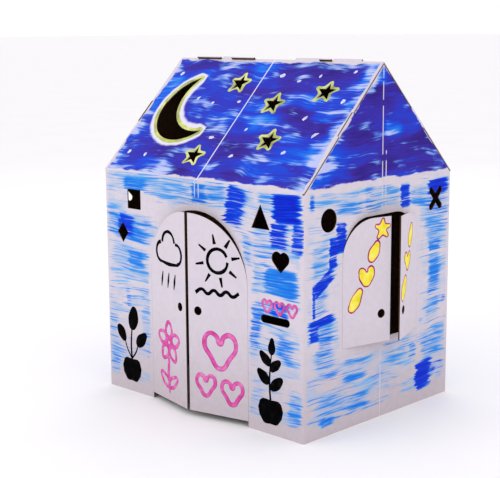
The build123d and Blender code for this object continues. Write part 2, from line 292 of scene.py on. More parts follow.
REAR_PATCHES = (
    (-200, 655, 200, 24, 0, 0.20, 0.52), (220, 655, 180, 24, 0, 0.22, 0.54),
    (-300, 560, 100, 60, 0, 0.18, 0.46), (250, 570, 130, 50, 0, 0.18, 0.46),
    (0, 540, 150, 40, 3, 0.24, 0.52), (-250, 400, 140, 50, -3, 0.24, 0.52),
    (230, 420, 150, 50, 0, 0.18, 0.48), (0, 340, 130, 50, 0, 0.20, 0.46),
    (-280, 240, 120, 50, 4, 0.22, 0.50), (260, 250, 130, 50, -4, 0.24, 0.52),
    (-20, 180, 150, 40, 2, 0.20, 0.46), (-260, 100, 130, 40, 3, 0.26, 0.54),
    (240, 100, 140, 40, -3, 0.22, 0.50), (-280, 645, 80, 26, 2, 0.48, 0.76),
    (-60, 640, 60, 24, 0, 0.42, 0.68), (300, 630, 60, 40, -2, 0.88, 1.00),
    (130, 590, 44, 40, -8, 0.78, 0.86), (-330, 530, 50, 36, 4, 0.80, 0.88),
    (-140, 500, 50, 30, 0, 0.46, 0.72), (330, 480, 44, 40, -6, 0.50, 0.76),
    (60, 440, 56, 34, 0, 0.54, 0.84), (-330, 380, 40, 44, 0, 0.44, 0.68),
    (-110, 370, 30, 44, -10, 0.80, 0.86), (240, 350, 60, 30, 4, 0.46, 0.74),
    (-240, 270, 54, 26, 4, 0.52, 0.80), (80, 250, 44, 36, 0, 0.44, 0.68),
    (350, 240, 30, 50, 0, 0.78, 0.86), (-330, 130, 46, 42, 0, 0.82, 0.92),
    (-90, 120, 60, 28, 3, 0.46, 0.72), (160, 90, 50, 36, -5, 0.48, 0.74),
    (330, 80, 50, 30, 0, 0.42, 0.66),
)


def point(material, x, y, z=0.0):
    return add_node(material, "ShaderNodeCombineXYZ", x, y, z)


def colour_steps(material, value, steps):
    ramp = add_node(material, "ShaderNodeValToRGB", value)
    elements = ramp.node.color_ramp.elements
    elements[0].position, elements[0].color = steps[0]
    elements[1].position, elements[1].color = steps[-1]
    for position, shade in steps[1:-1]:
        elements.new(position).color = shade
    return ramp


def vector_maths(material, operation, *values, output=0):
    return add_node(material, "ShaderNodeVectorMath", *values, operation=operation, output=output)


def swayed(material, along, up, turn):
    """Height of the brush on a panel, which sways as it is pulled along."""
    sway = grain(material, point(material, along, up, turn), (5, 5, 1), detail=1.0)
    return shifted(material, up, sway, 0.03)


def random_strokes(material, along, up, turn, length, width):
    """Three random numbers for each of the strokes that tile a panel, bristly at their ends."""
    drag = grain(material, point(material, along, up, turn), (4, 190, 1), detail=2.0)
    pulled = shifted(material, along, drag, 0.10)
    laid = scaled(material, point(material, pulled, up, turn), (1 / length, 1 / width, 9))
    strokes = add_node(material, "ShaderNodeTexVoronoi", laid, None, 1.0, output=1,
                       distance="CHEBYCHEV")
    return split(material, strokes)


def bristles(material, along, up, turn):
    """Fine lines that the hairs of the brush leave, with broader bands where it ran dry."""
    place = point(material, along, up, turn)
    fine = grain(material, place, (6, 190, 1), detail=3.0, rough=0.65)
    bands = grain(material, place, (9, 60, 1), detail=2.0)
    return maths(material, "MULTIPLY_ADD", fine, 0.64, maths(material, "MULTIPLY", bands, 0.36))


def brushed_patches(material, along, up, turn, patches, first_state, firm=True):
    """Cover and depth of blue of patches, each over the ones before and ragged at its tail."""
    drag = grain(material, point(material, along, up, turn), (2, 170, 1), detail=3.0)
    pull = point(material, maths(material, "SUBTRACT", drag, 0.5), 0.0)
    place = point(material, along, up)
    state = first_state
    for centre, height, half_length, half_height, tilt, blue, load in patches:
        halves = (half_length / 1000, half_height / 1000, 1)
        within = add_node(material, "ShaderNodeMapping", place, (centre / 1000, height / 1000, 0),
                          (0, 0, radians(tilt)), halves, vector_type="TEXTURE")
        reach = (min(1.6, 60 / half_length), 0, 0)
        within = vector_maths(material, "MULTIPLY_ADD", pull, reach, within)
        along_patch, up_patch, _ = split(material, within)
        soft = 0.05 if firm and load > 0.75 else 0.30
        tail = ease(material, along_patch, 1.3 + soft, 0.6 - soft)
        start = ease(material, along_patch, -1.1 - soft, -0.85 + soft)
        side = ease(material, maths(material, "ABSOLUTE", up_patch), 1.15 + soft, 0.85 - soft)
        patch = maths(material, "MULTIPLY", side, maths(material, "MULTIPLY", start, tail))
        state = add_node(material, "ShaderNodeMix", patch, None, None, None, state,
                         (load, blue, 0.0), output=1, data_type="VECTOR")
    cover, depth, _ = split(material, state)
    return cover, depth


def score_line(material, along, up, at, low, high):
    """A pressed line from one height to another, where the paint has cracked off in dashes."""
    off_line = maths(material, "ABSOLUTE", maths(material, "SUBTRACT", along, at))
    near = ease(material, off_line, SCORE_EDGE, SCORE_MIDDLE)
    cracks = grain(material, point(material, at, up), (1, 26, 1), detail=2.0)
    dashes = maths(material, "MULTIPLY", near, ease(material, cracks, 0.36, 0.46))
    above = maths(material, "GREATER_THAN", up, low)
    below = maths(material, "LESS_THAN", up, high)
    return maths(material, "MULTIPLY", dashes, maths(material, "MULTIPLY", above, below))


def off_doorway(material, along, up):
    over = maths(material, "MAXIMUM", maths(material, "SUBTRACT", up, DOORWAY_SPRING), 0.0)
    away = vector_maths(material, "LENGTH", point(material, along, over), output=1)
    return maths(material, "SUBTRACT", away, DOORWAY_HALF)


def off_window(material, along, up):
    beside = maths(material, "SUBTRACT", maths(material, "ABSOLUTE", along), WINDOW_HALF)
    middle, half_height = (WINDOW_SILL + WINDOW_TOP) / 2, (WINDOW_TOP - WINDOW_SILL) / 2
    over = maths(material, "ABSOLUTE", maths(material, "SUBTRACT", up, middle))
    over = maths(material, "SUBTRACT", over, half_height)
    return maths(material, "MAXIMUM", beside, over)


def painted_wall(name, patches, half_length, off_opening=None, side_wall=False, scores=()):
    """A wall's outer face: thin strokes, patches over them and, on a side wall, the gable's sky."""
    material, shader, place = new_material(name)
    x, y, z = split(material, place)
    along = maths(material, "MULTIPLY", y, maths(material, "SIGN", x)) if side_wall else x
    turn = maths(material, "MULTIPLY", x, 5.0) if side_wall else 0.0
    white, relief = white_face(material, place, maths(material, "ADD", x, y))
    up = swayed(material, along, z, turn)
    hairs = bristles(material, along, up, turn)

    clear = maths(material, "SUBTRACT", half_length, maths(material, "ABSOLUTE", along))
    clear = maths(material, "MINIMUM", clear, maths(material, "SUBTRACT", EAVE, z))
    clear = maths(material, "MINIMUM", clear, maths(material, "SUBTRACT", z, BARE_FOOT))
    if off_opening:
        clear = maths(material, "MINIMUM", clear, off_opening(material, along, z))
    strokes = random_strokes(material, along, up, turn, STROKE_LENGTH, STROKE_WIDTH)
    thin_cover = maths(material, "MULTIPLY_ADD", strokes[0], 0.46, 0.06)
    thin_cover = maths(material, "MULTIPLY", thin_cover, ease(material, clear, 0.002, 0.022))
    first_state = point(material, thin_cover, maths(material, "MULTIPLY", strokes[1], 0.42))
    cover, depth = brushed_patches(material, along, up, turn, patches, first_state)

    film = ease(material, shifted(material, cover, hairs, 3.0), 0.38, 0.76)
    blue = colour_steps(material, shifted(material, depth, hairs, 1.1), PAINT_STEPS)
    wet = grain(material, point(material, along, up, turn), (12, 30, 1), detail=3.0)
    wash = ease(material, shifted(material, cover, wet, 1.3), 0.20, 0.74, 0.0, 0.66)
    shade = blend_colours(material, wash, white, PALE_WASH)
    shade = blend_colours(material, film, shade, blue)
    if side_wall:
        inside, rubbed = inside_gable(material, along, z)
        night, solid = night_sky(material, along, z, turn, inside, rubbed, GABLE_PATCHES)
        shade = blend_colours(material, solid, shade, night)
        film = maths(material, "MAXIMUM", film, solid)
    for at, low, high in scores:
        cracked = score_line(material, along, z, at, low, high)
        shade = blend_colours(material, cracked, shade, LINER_WHITE)
    relief = maths(material, "MULTIPLY_ADD", hairs, 0.5, relief)
    roughness = ease(material, film, 0.0, 1.0, BARE_ROUGHNESS, PAINT_ROUGHNESS)
    dress(material, shader, shade, roughness, relief, PAINT_RELIEF)
    return material


# Roof and gables, painted by hand as a night sky. Ultramarine and violet cover the board nearly
# everywhere, with cerulean and milky streaks where the paint was thinned. A ragged white margin is
# left along folds, ridge and cut edges.
SLOPE_LENGTH = HALF_DEPTH / cos(pi / 4)
MILKY = colour(194, 198, 234)
PALE_SKY = colour(84, 142, 230)
MOON_CENTRE = Vector((-0.515 * HALF_WIDTH, 0.562 * SLOPE_LENGTH))
MOON_RADIUS, BITE_RADIUS, BITE_SHIFT = 0.129, 0.131, 0.0745
BITE_TURN = radians(34.5)
BITE_CENTRE = MOON_CENTRE + BITE_SHIFT * Vector((cos(BITE_TURN), sin(BITE_TURN)))
HORN_REACH = (BITE_SHIFT ** 2 + MOON_RADIUS ** 2 - BITE_RADIUS ** 2) / (2 * BITE_SHIFT)
MOON_HALO = colour(226, 222, 240)
HALO_EDGE, HALO_FULL = 0.026, 0.017
FOLD_MIDDLE = 0.0014
SKY_STROKE_LENGTH, SKY_STROKE_WIDTH = 0.16, 0.030
SKY_ROUGHNESS = 0.42
PLAIN_SKY = (0.5, 0.42, 0.0)
SKY_STEPS = (
    (0.10, colour(44, 22, 122)),
    (0.28, colour(54, 38, 156)),
    (0.46, colour(38, 52, 188)),
    (0.60, colour(16, 74, 214)),
    (0.72, colour(24, 112, 226)),
    (0.86, colour(104, 158, 234)),
    (0.98, colour(184, 200, 238)),
)
# Each patch of sky, as on the walls: its place along and up the panel, half length and half
# height, tilt, lightness of the blue and how milky it is
SLOPE_PATCHES = (
    (-300, 425, 80, 22, 0, 0.28, 0.35), (-175, 400, 70, 16, 0, 0.50, 0.90),
    (-365, 330, 40, 90, 0, 0.62, 0.40), (-150, 250, 60, 60, 0, 0.56, 0.60),
    (-120, 320, 80, 30, 0, 0.50, 0.30), (-80, 225, 70, 25, 0, 0.55, 0.60),
    (20, 150, 70, 25, 0, 0.28, 0.55), (60, 110, 60, 25, 0, 0.20, 0.40),
    (-120, 180, 50, 22, 0, 0.30, 0.35), (-250, 100, 120, 35, 0, 0.30, 0.60),
    (-110, 35, 60, 18, 0, 0.22, 0.40), (-220, 40, 70, 20, 0, 0.58, 0.62),
    (0, 425, 60, 30, 0, 0.64, 0.45), (190, 430, 150, 40, 0, 0.18, 0.15),
    (290, 390, 70, 30, 0, 0.24, 0.30), (395, 430, 25, 40, 0, 0.70, 0.80),
    (150, 360, 70, 30, 0, 0.34, 0.35), (50, 300, 60, 25, 0, 0.60, 0.75),
    (210, 305, 70, 30, 0, 0.66, 0.75), (210, 255, 60, 25, 0, 0.26, 0.30),
    (320, 262, 40, 18, 0, 0.60, 0.90), (120, 215, 60, 35, 0, 0.66, 0.50),
    (255, 172, 55, 18, 0, 0.58, 0.85), (310, 215, 60, 30, 0, 0.28, 0.25),
    (300, 110, 80, 30, 0, 0.58, 0.50), (220, 50, 110, 25, 0, 0.54, 0.70),
    (150, 22, 70, 14, 0, 0.28, 0.30), (390, 310, 24, 20, 40, 0.62, 0.95),
    (388, 215, 22, 30, 40, 0.66, 1.00), (380, 120, 34, 56, 20, 0.64, 0.90),
)
GABLE_PATCHES = (
    (-110, 790, 90, 40, 0, 0.36, 0.20), (-60, 860, 90, 60, 0, 0.26, 0.15),
    (-50, 935, 50, 40, 0, 0.18, 0.10), (-20, 978, 40, 26, 0, 0.74, 0.80),
    (-40, 725, 110, 25, 5, 0.22, 0.25), (120, 780, 120, 60, 0, 0.24, 0.20),
    (170, 720, 100, 25, 0, 0.32, 0.35), (45, 838, 40, 16, -10, 0.60, 1.00),
    (-232, 752, 38, 30, 40, 0.50, 1.05), (-260, 712, 50, 14, 15, 0.60, 0.70),
)


def night_sky(material, along, up, turn, inside, rubbed, patches):
    """Colour of the sky and how far it covers, from distances to its edge and to a rubbed edge."""
    flat = point(material, along, up, turn)
    bent = shifted(material, up, grain(material, flat, (4, 4, 1), detail=2.0), 0.08)
    place = point(material, along, bent, turn)
    strokes = random_strokes(material, along, bent, turn, SKY_STROKE_LENGTH, SKY_STROKE_WIDTH)
    clouds = grain(material, place, (4, 7, 1), detail=3.0, rough=0.6)
    hairs = bristles(material, along, bent, turn)
    milk, mean = brushed_patches(material, along, bent, turn, patches, PLAIN_SKY, firm=False)
    tone = shifted(material, mean, strokes[0], 0.20)
    tone = shifted(material, tone, clouds, 0.70)
    tone = shifted(material, tone, hairs, 0.60)
    sky = colour_steps(material, tone, SKY_STEPS)
    thin = shifted(material, grain(material, place, (9, 26, 1), detail=2.0), hairs, 0.75)
    thin = maths(material, "ADD", thin, ease(material, rubbed, 0.0, 0.06, 0.10, 0.0))
    thin = shifted(material, thin, milk, 0.22)
    sky = blend_colours(material, ease(material, thin, 0.54, 0.66, 0.0, 0.70), sky, PALE_SKY)
    sky = blend_colours(material, ease(material, thin, 0.60, 0.76, 0.0, 0.85), sky, MILKY)
    rough_edge = grain(material, flat, (30, 30, 1), detail=3.0)
    wide_edge = grain(material, flat, (9, 9, 1), detail=2.0)
    ragged = shifted(material, shifted(material, inside, rough_edge, 0.014), wide_edge, 0.034)
    return sky, ease(material, shifted(material, ragged, hairs, 0.014), 0.005, 0.010)


def inside_gable(material, along, up):
    """How far a place lies inside the gable's paint, and how far from its rubbed sloping edge."""
    back = maths(material, "ABSOLUTE", along)
    from_slope = maths(material, "SUBTRACT", RIDGE - 2 * BOARD, maths(material, "ADD", back, up))
    inside = maths(material, "ADD", from_slope, ease(material, along, -0.04, 0.04, 0.004, 0.008))
    inside = maths(material, "MINIMUM", inside, maths(material, "SUBTRACT", up, EAVE))
    return inside, maths(material, "ADD", from_slope, ease(material, along, -0.04, 0.04, 0.0, 0.08))


def moon_halo(material, along, up):
    """White worked round the moon: full beside the hole, none a finger's width away."""
    place = point(material, along, up)
    centre, bite = MOON_CENTRE.to_3d(), BITE_CENTRE.to_3d()
    off_rim = vector_maths(material, "DISTANCE", place, centre, output=1)
    off_bite = vector_maths(material, "DISTANCE", place, bite, output=1)
    axis = (cos(BITE_TURN), sin(BITE_TURN), 0)
    inward = vector_maths(material, "SUBTRACT", place, centre)
    inward = vector_maths(material, "DOT_PRODUCT", inward, axis, output=1)
    in_bite = maths(material, "MULTIPLY", maths(material, "SUBTRACT", BITE_RADIUS, off_bite), 0.8)
    off_moon = maths(material, "SUBTRACT", off_rim, MOON_RADIUS)
    outside = maths(material, "MAXIMUM", off_moon, in_bite)
    past_horn = maths(material, "SUBTRACT", inward, HORN_REACH)
    outside = maths(material, "ADD", outside, ease(material, past_horn, -0.006, 0.040, 0.0, 0.028))
    uneven = grain(material, place, (22, 22, 1), detail=3.0, rough=0.5)
    outside = shifted(material, outside, uneven, 0.016)
    return ease(material, outside, HALO_EDGE, HALO_FULL, 0.0, 0.94)


def painted_roof(name, halo_of=None):
    """A slope's outer face: night sky inside a bare margin, a halo and the cracked middle fold."""
    material, shader, place = new_material(name)
    x, y, z = split(material, place)
    turn = maths(material, "MULTIPLY", maths(material, "SIGN", y), 3.0)
    up = maths(material, "MULTIPLY", maths(material, "SUBTRACT", z, EAVE), 1 / sin(pi / 4))
    white, relief = white_face(material, place, x)
    from_side = maths(material, "SUBTRACT", HALF_WIDTH - BOARD, maths(material, "ABSOLUTE", x))
    from_ridge = maths(material, "SUBTRACT", SLOPE_LENGTH - BOARD, up)
    inside = maths(material, "MINIMUM", maths(material, "MINIMUM", from_side, from_ridge), up)
    sky, solid = night_sky(material, x, up, turn, inside, inside, SLOPE_PATCHES)
    shade = blend_colours(material, solid, white, sky)
    if halo_of:
        shade = blend_colours(material, halo_of(material, x, up), shade, MOON_HALO)
    fold = ease(material, maths(material, "ABSOLUTE", x), SCORE_EDGE, FOLD_MIDDLE)
    shade = blend_colours(material, fold, shade, MOON_HALO)
    hairs = grain(material, place, (8, 180, 180), detail=2.0)
    ridges = maths(material, "MULTIPLY_ADD", hairs, 0.9, 0.4)
    relief = maths(material, "MULTIPLY_ADD", solid, ridges, relief)
    roughness = ease(material, solid, 0.0, 1.0, BARE_ROUGHNESS, SKY_ROUGHNESS)
    dress(material, shader, shade, roughness, relief, PAINT_RELIEF)
    return material


# The shell, one sheet of board folded and glued into walls, gables and roof. Each face takes its
# finish from the panel it lies on: paint outside, brown liner inside and the cut edge wherever the
# knife went through. Ends of the ridge fingers are white.
SLOPE_NORMAL = sin(pi / 4)
SCORE_PITCH = 0.016
SHORT_SCORE = 0.085
TAB_START, TAB_END = 0.42, 0.60
INSIDE, EDGE, ROOF_END, FIRST_PANEL = range(4)
SQUARE_ON, FACING = 0.9, 0.6
FOLD_DEPTH = 0.0017
BACK_NEAR, BACK_FAR = BOARD - 0.0008, BOARD + 0.0012
TWO_SCORES = ((-SCORE_PITCH / 2, 0.0, EAVE), (SCORE_PITCH / 2, 0.0, EAVE))
SIDE_SCORES = (
    (0.0, WINDOW_TOP, RIDGE),
    (SCORE_PITCH, WINDOW_TOP, EAVE + SHORT_SCORE),
    (0.0, 0.0, WINDOW_SILL),
)
front_paint = painted_wall("painted_front_wall", FRONT_PATCHES, HALF_WIDTH, off_doorway,
                           scores=TWO_SCORES)
side_paint = painted_wall("painted_side_wall", SIDE_PATCHES, HALF_DEPTH, off_window,
                          side_wall=True, scores=SIDE_SCORES)
rear_paint = painted_wall("painted_rear_wall", REAR_PATCHES, HALF_WIDTH, scores=TWO_SCORES)
front_slope_paint = painted_roof("painted_front_slope", moon_halo)
rear_slope_paint = painted_roof("painted_rear_slope")
PANELS = (
    (Vector((0, -1, 0)), HALF_DEPTH, front_paint),
    (Vector((1, 0, 0)), HALF_WIDTH, side_paint),
    (Vector((-1, 0, 0)), HALF_WIDTH, side_paint),
    (Vector((0, 1, 0)), HALF_DEPTH, rear_paint),
    (Vector((0, -SLOPE_NORMAL, SLOPE_NORMAL)), RIDGE * SLOPE_NORMAL, front_slope_paint),
    (Vector((0, SLOPE_NORMAL, SLOPE_NORMAL)), RIDGE * SLOPE_NORMAL, rear_slope_paint),
)


def ends_roof(face):
    """Whether a face is an end of the roof board, and not of a gable tab that comes through it."""
    under = (RIDGE - abs(face.center.y) - face.center.z) * cos(pi / 4)
    on_tab = TAB_START < (face.center.z - EAVE) / HALF_DEPTH < TAB_END
    return abs(face.normal.x) > SQUARE_ON and under < BOARD + 0.0005 and not on_tab


shell = frame["nodes"]["house_shell"]
shell.data.materials.clear()
for finish in [shaded_inside_kraft, shell_edge, roof_end] + [material for _, _, material in PANELS]:
    shell.data.materials.append(finish)
for face in shell.data.polygons:
    face.material_index = ROOF_END if ends_roof(face) else EDGE
    best = FACING
    for number, (normal, offset, _) in enumerate(PANELS):
        facing = face.normal.dot(normal)
        behind = offset - face.center.dot(normal)
        if facing > best and -SKIN < behind < FOLD_DEPTH and not ends_roof(face):
            face.material_index = FIRST_PANEL + number
            best = facing
        elif -facing > FACING and BACK_NEAR < behind < BACK_FAR:
            face.material_index = INSIDE
    for number, (normal, offset, _) in enumerate(PANELS):
        if face.normal.dot(normal) > SQUARE_ON and face.center.dot(normal) > offset + BOARD:
            face.material_index = FIRST_PANEL + number


# Doors and shutters, flaps of the same board left white. Each is cut round on three sides, swings
# on its fold and has a finger hole. The cut edges are bare brown board darkened with painted shade,
# and daylight reaches the brown liner on their backs.
FLAP_LIGHT = colour(160, 121, 82)
FLAP_DARK = colour(132, 97, 63)
SMUDGE = colour(186, 190, 214)
WHITE = 2
FLAPS = {}
for fold in frame["joints"]:
    hinge = HINGES[fold["child"]].to_2d()
    wall_facing = -90.0 if abs(hinge.x) < HALF_WIDTH - BOARD else 0.0 if hinge.x > 0 else 180.0
    FLAPS[fold["child"]] = hinge, radians(wall_facing - fold["range_deg"][0] * fold["axis"][2])


def white_flap_face():
    material, shader, place = new_material("white_flap_face")
    x, y, _ = split(material, place)
    white, relief = white_face(material, place, maths(material, "ADD", x, y))
    smudges = grain(material, place, (7, 7, 11), detail=4.0, rough=0.6)
    smudged = ease(material, smudges, 0.58, 0.76, 0.0, 0.25)
    shade = blend_colours(material, smudged, white, SMUDGE)
    roughness = ease(material, smudges, 0.3, 0.7, 0.55, 0.68)
    dress(material, shader, shade, roughness, relief, PAINT_RELIEF)
    return material


def depth_in_flap(hinge, outward):
    """Depth in a flap is measured from its outer face, which passes through the hinge."""
    def depth(material, x, y, z):
        along_x = maths(material, "MULTIPLY", maths(material, "SUBTRACT", x, hinge.x), -outward.x)
        from_hinge = maths(material, "SUBTRACT", y, hinge.y)
        return maths(material, "MULTIPLY_ADD", from_hinge, -outward.y, along_x)
    return depth


white_flap = white_flap_face()
flap_kraft = kraft_face("flap_kraft_liner", FLAP_LIGHT, FLAP_DARK)
for name, (hinge, facing) in FLAPS.items():
    outward = Vector((cos(facing), sin(facing), 0))
    flap = frame["nodes"][name]
    flap.data.materials.clear()
    flap_edge = cut_edge(name + "_cut_edge", depth_in_flap(hinge, outward))
    for finish in (flap_kraft, flap_edge, white_flap):
        flap.data.materials.append(finish)
    for face in flap.data.polygons:
        out = face.normal.dot(outward)
        face.material_index = WHITE if out > SQUARE_ON else INSIDE if out < -SQUARE_ON else EDGE


# Moon and stars, cut through the front slope and outlined by hand. A yellow-green line of poster
# paint hugs each cut edge, and dabs of white stand for smaller stars.
FILM = 0.0004
MOON_LINE, STAR_LINE = 0.0115, 0.010
MOON_WOBBLE, STAR_WOBBLE = 0.0035, 0.005
STAR_CENTRES = ((-0.195, 0.789), (0.255, 0.632), (0.663, 0.747), (0.427, 0.346), (-0.18, 0.182))
STAR_RADIUS, STAR_WAIST, LINE_WAIST = 0.034, 0.425, 0.58
# Each dab: place across and up the slope and half its length, in millimetres
DABS = (
    (-356, 399, 10), (-212, 302, 7), (-137, 286, 9), (-33, 297, 8), (65, 195, 7), (-48, 155, 9),
    (-354, 76, 9), (-278, 71, 9), (72, 96, 11), (73, 405, 10), (148, 386, 9), (217, 406, 7),
    (335, 427, 9), (353, 317, 11), (256, 251, 10), (327, 193, 11), (256, 125, 10),
)
DAB_POINTS = 5
ON_FRONT_SLOPE = (0, -HALF_DEPTH, EAVE), (pi / 4, 0, 0)
# The hand that draws is unsteady in the same way on every run
HAND_SEED = 3
noise.seed_set(HAND_SEED)
MOON_TINTS = colour(142, 150, 92), colour(190, 198, 108), colour(224, 228, 138)
CHALK_TINTS = colour(168, 172, 222), colour(206, 207, 234), colour(228, 228, 242)


def coat(name, tints, gloss, scale, shine=CARD_SHINE):
    """Thick poster paint in three tints, uneven where the brush lifted."""
    material, shader, place = new_material(name)
    shader.inputs["Specular IOR Level"].default_value = shine
    pull = grain(material, place, (scale, scale, scale), detail=4.0, rough=0.6)
    shade = colour_steps(material, pull, tuple(zip((0.32, 0.50, 0.66), tints)))
    hairs = grain(material, place, (420, 420, 420), detail=2.0)
    relief = maths(material, "MULTIPLY_ADD", pull, 0.6, hairs)
    roughness = ease(material, pull, 0.3, 0.7, gloss, gloss + 0.15)
    dress(material, shader, shade, roughness, relief, 0.0002)
    return material


def wobble(loop, reach, seed):
    """Moves the points of a loop a little, as an unsteady hand would."""
    moved = []
    for step, (across, up) in enumerate(loop):
        shift = noise.noise_vector(Vector((seed * 7.3, step * 0.8, 1.7))) * reach
        moved.append((across + shift.x, up + shift.y))
    return moved


def film_between(name, loops, finish):
    """A film of paint that fills the space between closed loops, drawn flat."""
    bpy.ops.object.select_all(action="DESELECT")
    bpy.ops.curve.primitive_bezier_circle_add()
    film = bpy.context.object
    film.name = name
    film.data.dimensions = "2D"
    film.data.fill_mode = "BOTH"
    film.data.extrude = FILM / 2
    film.data.resolution_u = 3
    film.data.splines.clear()
    for loop, corners in loops:
        spline = film.data.splines.new("BEZIER")
        spline.bezier_points.add(len(loop) - 1)
        spline.use_cyclic_u = True
        for knot, (across, up) in zip(spline.bezier_points, loop):
            knot.co = (across, up, 0)
            knot.handle_left_type = knot.handle_right_type = corners
    bpy.ops.object.convert(target="MESH")
    bpy.ops.object.mode_set(mode="EDIT")
    bpy.ops.mesh.select_all(action="SELECT")
    bpy.ops.mesh.remove_doubles(threshold=0.00001)
    bpy.ops.mesh.normals_make_consistent(inside=False)
    bpy.ops.object.mode_set(mode="OBJECT")
    film.data.materials.append(finish)
    return film


def put_on(name, films, panel, body):
    """Joins films of paint, lays them on a panel's outer face and lets them ride on its body."""
    bpy.ops.object.select_all(action="DESELECT")
    for film in films:
        film.select_set(True)
    piece = films[0]
    bpy.context.view_layer.objects.active = piece
    if len(films) > 1:
        bpy.ops.object.join()
    piece.name = name
    piece.location, piece.rotation_euler = panel
    bpy.ops.object.transform_apply(location=True, rotation=True, scale=True)
    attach(piece, body)


def arc(centre, radius, start, end, steps):
    """Points along an arc, ends included."""
    angles = [start + (end - start) * step / steps for step in range(steps + 1)]
    return [(centre[0] + radius * cos(angle), centre[1] + radius * sin(angle)) for angle in angles]


def crescent(grow, tip):
    """The moon's outline let out by a distance all round, with its horns rounded by a radius."""
    inner, bite = MOON_RADIUS - tip, BITE_RADIUS + tip
    reach = (BITE_SHIFT ** 2 + inner ** 2 - bite ** 2) / (2 * BITE_SHIFT)
    rim, bite_rim = acos(reach / inner), acos((reach - BITE_SHIFT) / bite)
    lower, upper = BITE_TURN - rim, BITE_TURN + rim
    bite_lower, bite_upper = BITE_TURN - bite_rim, BITE_TURN + bite_rim
    loop = arc(MOON_CENTRE, MOON_RADIUS + grow, upper, lower + 2 * pi, 32)
    horn = MOON_CENTRE + inner * Vector((cos(lower), sin(lower)))
    loop += arc(horn, tip + grow, lower, bite_lower + pi, 6)[1:-1]
    loop += arc(BITE_CENTRE, BITE_RADIUS - grow, bite_lower, bite_upper - 2 * pi, 26)
    horn = MOON_CENTRE + inner * Vector((cos(upper), sin(upper)))
    loop += arc(horn, tip + grow, bite_upper - pi, upper, 6)[1:-1]
    return loop


def star(centre, radius, waist):
    loop = []
    for step in range(10):
        reach = radius * (waist if step % 2 else 1.0)
        angle = pi / 2 + step * pi / 5
        loop.append((centre[0] + reach * cos(angle), centre[1] + reach * sin(angle)))
    return loop


def turned(foot, along, off, turn):
    """A place some way along a turned direction from a foot, and some way off to its left."""
    return (foot[0] + along * cos(turn) - off * sin(turn),
            foot[1] + along * sin(turn) + off * cos(turn))


moon_yellow = coat("moon_yellow", MOON_TINTS, 0.45, 20)
moon_rim = wobble(crescent(MOON_LINE, 0.002), MOON_WOBBLE, 1)
moon_loops = (moon_rim, "AUTO"), (crescent(0.0003, 0.0004), "VECTOR")
moon_line = film_between("moon_line", moon_loops, moon_yellow)
put_on("moon_outline", [moon_line], ON_FRONT_SLOPE, "house")
for number, (across, up) in enumerate(STAR_CENTRES):
    centre = (across * HALF_WIDTH, up * SLOPE_LENGTH)
    rim = wobble(star(centre, STAR_RADIUS + STAR_LINE, LINE_WAIST), STAR_WOBBLE, number + 3)
    star_loops = (rim, "AUTO"), (star(centre, STAR_RADIUS + 0.0006, STAR_WAIST), "VECTOR")
    star_line = film_between("star_line", star_loops, moon_yellow)
    put_on("star_outline_%d" % (number + 1), [star_line], ON_FRONT_SLOPE, "house")

chalk_white = coat("chalk_white", CHALK_TINTS, 0.5, 90)
dabs = []
for number, (across, up, size) in enumerate(DABS):
    lean = 1.1 + 1.5 * noise.noise(Vector((number * 3.1, 0.4, 0.0)))
    dab = []
    for step in range(DAB_POINTS):
        angle = 2 * pi * step / DAB_POINTS
        uneven = noise.noise(Vector((number * 1.7, step * 2.3, 4.0)))
        reach = 0.95 * size / 1000 * (1.0 + 0.8 * uneven)
        foot = (across / 1000, up / 1000)
        dab.append(turned(foot, reach * cos(angle), 0.7 * reach * sin(angle), lean))
    dabs.append(film_between("white_dab", ((dab, "VECTOR"),), chalk_white))
put_on("white_dabs", dabs, ON_FRONT_SLOPE, "house")


# Drawings on the doors. A cloud and a sun in black and a flower and hearts in pink, brushed on in
# poster paint, each line one pull of a round brush, thicker where the brush was pressed.
INK_TINTS = colour(2, 2, 3), colour(4, 4, 5), colour(17, 15, 17)
PINK_TINTS = colour(196, 58, 142), colour(212, 84, 164), colour(228, 126, 188)
INK_WIDTH = 10
FLOWER = (100, 196)
SUN = (-100, 470)


def brush_line(points, width, finish, closed=False):
    """One pull of the brush through points: across and up in millimetres, and its pressure."""
    bpy.ops.object.select_all(action="DESELECT")
    bpy.ops.curve.primitive_bezier_curve_add()
    pull = bpy.context.object
    spline = pull.data.splines[0]
    spline.bezier_points.add(len(points) - 2)
    for knot, (across, up, press) in zip(spline.bezier_points, points):
        knot.co = (across / 1000, up / 1000, 0)
        knot.handle_left_type = knot.handle_right_type = "AUTO"
        knot.radius = press * (1.0 + 0.3 * noise.noise(Vector((across * 0.11, up * 0.13, width))))
    spline.use_cyclic_u = closed
    pull.data.bevel_depth = width / 2000
    pull.data.bevel_resolution = 1
    pull.data.resolution_u = 6
    pull.data.use_fill_caps = True
    bpy.ops.object.convert(target="MESH")
    bpy.ops.object.mode_set(mode="EDIT")
    bpy.ops.mesh.select_all(action="SELECT")
    bpy.ops.transform.resize(value=(1, 1, 1500 * FILM / width), center_override=(0, 0, 0))
    bpy.ops.mesh.normals_make_consistent(inside=False)
    bpy.ops.object.mode_set(mode="OBJECT")
    pull.data.materials.append(finish)
    return pull


def on_flap(name):
    hinge, facing = FLAPS[name]
    return (hinge.x, hinge.y, 0), (pi / 2, 0, facing + pi / 2)


def pressed(points, press=1.0):
    return [(across, up, press) for across, up in points]


def leaf(foot, length, width, turn):
    """Points of a leaf from its foot to its tip and back."""
    points = []
    for share, side in ((0, 0), (0.3, 0.5), (0.7, 0.42), (1, 0), (0.7, -0.42), (0.3, -0.5)):
        points.append(turned(foot, share * length, side * width, turn))
    return points


